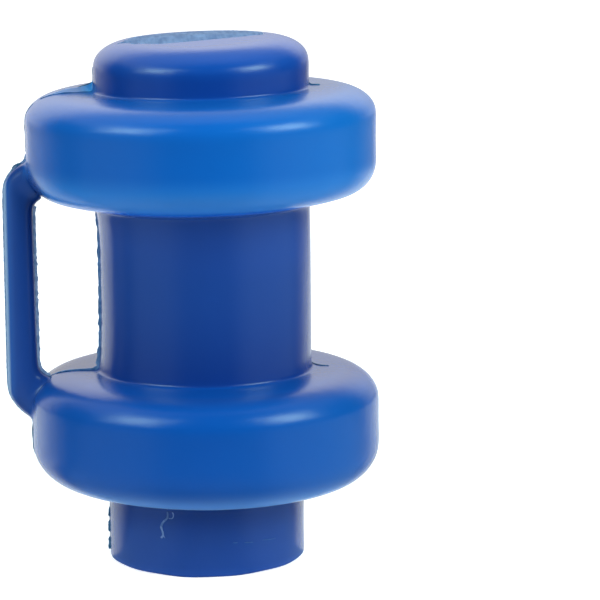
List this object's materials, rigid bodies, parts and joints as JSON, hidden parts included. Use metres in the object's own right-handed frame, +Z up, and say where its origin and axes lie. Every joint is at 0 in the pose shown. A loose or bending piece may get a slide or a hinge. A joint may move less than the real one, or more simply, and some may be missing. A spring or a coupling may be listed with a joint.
{
  "type": "trampoline pole cap",
  "caption": "Hollow blow-moulded cap for a tubular enclosure pole, with an open neck, a rope waist between two rounded flanges and a side loop.",
  "frame": {"origin": "centre of the neck's mouth, on the cap's axis", "axes": "+Z up the axis from the open neck to the closed knob, the side loop at -X, the mould's parting plane is XZ"},
  "size_m": [0.0781, 0.0728, 0.1101],
  "materials": {
    "shell": "semi-gloss blow-moulded polyethylene",
    "flash": "thin translucent flash of the same polyethylene"
  },
  "bodies": {
    "root": {"pole_neck": "shell", "lower_flange_underside": "shell", "lower_flange_rim": "shell", "lower_flange_top": "shell", "waist": "shell", "upper_flange_underside": "shell", "upper_flange_rim": "shell", "upper_flange_top": "shell", "knob_shoulder": "shell", "knob_crown": "shell", "loop_lower_arm": "shell", "loop_bar": "shell", "loop_upper_arm": "shell", "hole_flash": "flash", "loop_rib": "flash", "neck_flash": "flash", "flange_flash": "flash", "knob_web_left": "flash", "knob_web_right": "flash", "pinch_ridge": "flash"}
  },
  "joints": []
}
